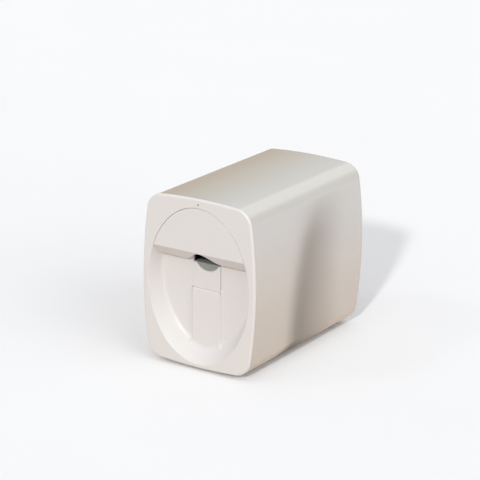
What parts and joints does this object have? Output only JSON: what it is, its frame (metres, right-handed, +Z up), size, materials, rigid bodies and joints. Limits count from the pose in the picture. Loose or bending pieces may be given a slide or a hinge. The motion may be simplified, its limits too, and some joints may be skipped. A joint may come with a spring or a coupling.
{
  "type": "digital nail art printer",
  "caption": "Desktop printer for nail art: pearl sleeve, white front with an oval recess, pull-off hood and finger rest; a cartridge on a two-axis stage prints on the nail.",
  "frame": {"origin": "on the table under the middle of the body", "axes": "+X right seen from the front, +Y towards the back, +Z up"},
  "size_m": [0.11, 0.171, 0.147],
  "materials": {
    "pearl_sleeve": "satin pearl paint over a moulded plastic sleeve",
    "white_panel": "warm white moulded ABS, fine texture",
    "white_hood": "white moulded ABS, fine texture",
    "button_plastic": "satin pearl ABS",
    "grey_silicone": "matt grey silicone",
    "black_rubber": "matt moulded rubber",
    "sheet_steel": "zinc plated sheet steel",
    "ground_steel": "ground rod",
    "spring_steel": "drawn wire",
    "screw_steel": "zinc plated",
    "motor_steel": "pressed steel can",
    "nickel_magnet": "nickel plated magnet",
    "cast_alloy": "dark cast alloy",
    "heatsink_alloy": "anodised extrusion",
    "bronze": "sintered bronze",
    "dark_plastic": "dark grey moulded plastic",
    "white_acetal": "white acetal",
    "amber_plastic": "amber moulded plastic",
    "green_board": "solder mask over glass fibre",
    "light_board": "white board with white light diodes",
    "capacitor_can": "sleeved cans",
    "shield_can": "tinned shield",
    "clear_pipe": "clear polycarbonate"
  },
  "bodies": {
    "body": {"outer_sleeve": "pearl_sleeve", "front_panel": "white_panel", "rear_panel": "white_panel", "base_plate": "sheet_steel", "rubber_feet": "black_rubber", "keeper_plates": "sheet_steel", "status_light_pipe": "clear_pipe", "indicator_board": "green_board", "front_frame": "sheet_steel", "rear_frame": "sheet_steel", "rest_bracket": "sheet_steel", "rest_guide_rods": "ground_steel", "rest_spring": "spring_steel", "camera_bracket": "sheet_steel", "camera_module": "dark_plastic", "camera_lens": "clear_pipe", "nail_light_bars": "light_board", "long_rods": "ground_steel", "long_motor": "motor_steel", "front_bearing": "bronze", "cap_bracket": "sheet_steel", "nozzle_cap": "black_rubber", "main_board": "green_board", "board_standoffs": "bronze", "heat_sink": "heatsink_alloy", "board_capacitors": "capacitor_can", "wireless_module": "shield_can", "power_inlet": "dark_plastic", "inlet_pin": "ground_steel", "power_switch": "dark_plastic", "button_spring": "spring_steel", "front_screws": "screw_steel", "rear_screws": "screw_steel", "base_screws": "screw_steel", "frame_screws": "screw_steel", "board_screws": "screw_steel"},
    "hood": {"hood_cover": "white_hood", "hood_magnets": "nickel_magnet"},
    "finger_rest": {"finger_rest": "white_panel", "finger_pad": "grey_silicone"},
    "stage": {"stage_frame": "cast_alloy", "long_rod_bushings": "bronze", "lead_nut": "bronze", "cross_rods": "ground_steel", "cross_motor": "motor_steel", "idler_pin": "ground_steel", "drive_belt": "black_rubber"},
    "lead_screw": {"lead_screw": "ground_steel"},
    "belt_drive": {"drive_pulley": "cast_alloy", "cross_motor_shaft": "ground_steel"},
    "belt_idler": {"idler_pulley": "white_acetal"},
    "carriage": {"carriage": "dark_plastic", "cross_rod_bushings": "bronze", "belt_clamp": "dark_plastic", "latch_pin": "ground_steel", "cartridge": "dark_plastic", "nozzle_plate": "bronze"},
    "latch": {"cartridge_latch": "amber_plastic"},
    "power_button": {"power_button": "button_plastic"}
  },
  "joints": [
    {"name": "hood_pull", "type": "slide", "parent": "body", "child": "hood", "axis": [0, -1, 0], "range_m": [0, 0.03]},
    {"name": "rest_press", "type": "slide", "parent": "body", "child": "finger_rest", "axis": [0, 0, -1], "range_m": [0, 0.008], "stiffness_N_per_m": 150, "springref_m": -0.004, "deforming": ["rest_spring"]},
    {"name": "stage_slide", "type": "slide", "parent": "body", "child": "stage", "axis": [0, -1, 0], "range_m": [0, 0.023]},
    {"name": "screw_spin", "type": "hinge", "parent": "body", "child": "lead_screw", "pos_m": [-0.028, 0, 0.093], "axis": [0, 1, 0], "range_deg": [0, 2075]},
    {"name": "carriage_slide", "type": "slide", "parent": "stage", "child": "carriage", "axis": [1, 0, 0], "range_m": [-0.018, 0.018]},
    {"name": "drive_pulley_spin", "type": "hinge", "parent": "stage", "child": "belt_drive", "pos_m": [-0.028, 0.0038, 0.1185], "axis": [0, 1, 0], "range_deg": [-165, 165]},
    {"name": "idler_pulley_spin", "type": "hinge", "parent": "stage", "child": "belt_idler", "pos_m": [0.028, 0.0038, 0.1185], "axis": [0, 1, 0], "range_deg": [-165, 165]},
    {"name": "latch_lift", "type": "hinge", "parent": "carriage", "child": "latch", "pos_m": [0, -0.0106, 0.1336], "axis": [-1, 0, 0], "range_deg": [0, 18]},
    {"name": "button_press", "type": "slide", "parent": "body", "child": "power_button", "axis": [0, -1, 0], "range_m": [0, 0.0015], "stiffness_N_per_m": 600, "springref_m": -0.002, "deforming": ["button_spring"]}
  ],
  "couplings": [
    {"joint": "screw_spin", "follows": "stage_slide", "rad_per_m": 1570.8},
    {"joint": "drive_pulley_spin", "follows": "carriage_slide", "rad_per_m": -158.73},
    {"joint": "idler_pulley_spin", "follows": "carriage_slide", "rad_per_m": -158.73}
  ]
}
